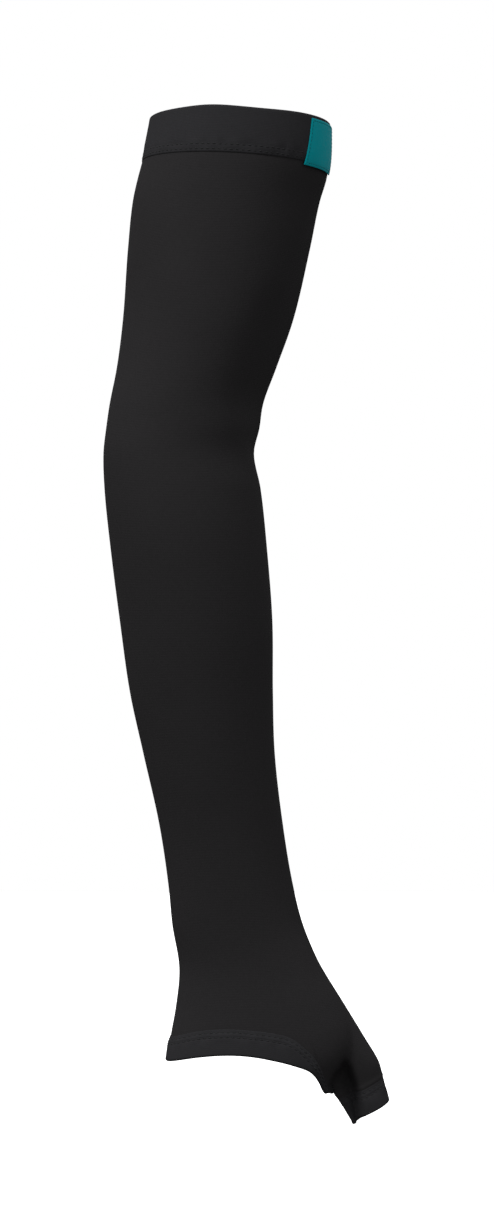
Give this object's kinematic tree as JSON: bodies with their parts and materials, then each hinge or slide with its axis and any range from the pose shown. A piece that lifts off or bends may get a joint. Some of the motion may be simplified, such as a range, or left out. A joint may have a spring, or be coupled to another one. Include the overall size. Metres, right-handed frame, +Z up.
{
  "type": "gaming arm sleeve",
  "caption": "Long black knit arm sleeve in its worn form, from the upper arm over the palm, with a thumb tube, doubled hems and a teal cuff label.",
  "frame": {"origin": "centre of the upper-arm opening, where the sleeve grips the arm that holds it", "axes": "+Z up out of the upper-arm opening, along the hanging arm; +X from the point of the elbow towards the crook and the thumb; +Y from the near face to the far face"},
  "size_m": [0.1434, 0.0901, 0.5019],
  "materials": {
    "black_knit": "fine matte nylon and elastane jersey, black",
    "doubled_knit": "the same black jersey folded double and stitched down",
    "teal_weave": "close satin-woven polyester label, teal"
  },
  "bodies": {
    "root": {"sleeve_body": "black_knit", "upper_cuff": "doubled_knit", "hand_hem": "doubled_knit", "thumb_hem": "doubled_knit", "cuff_label": "teal_weave"}
  },
  "joints": []
}
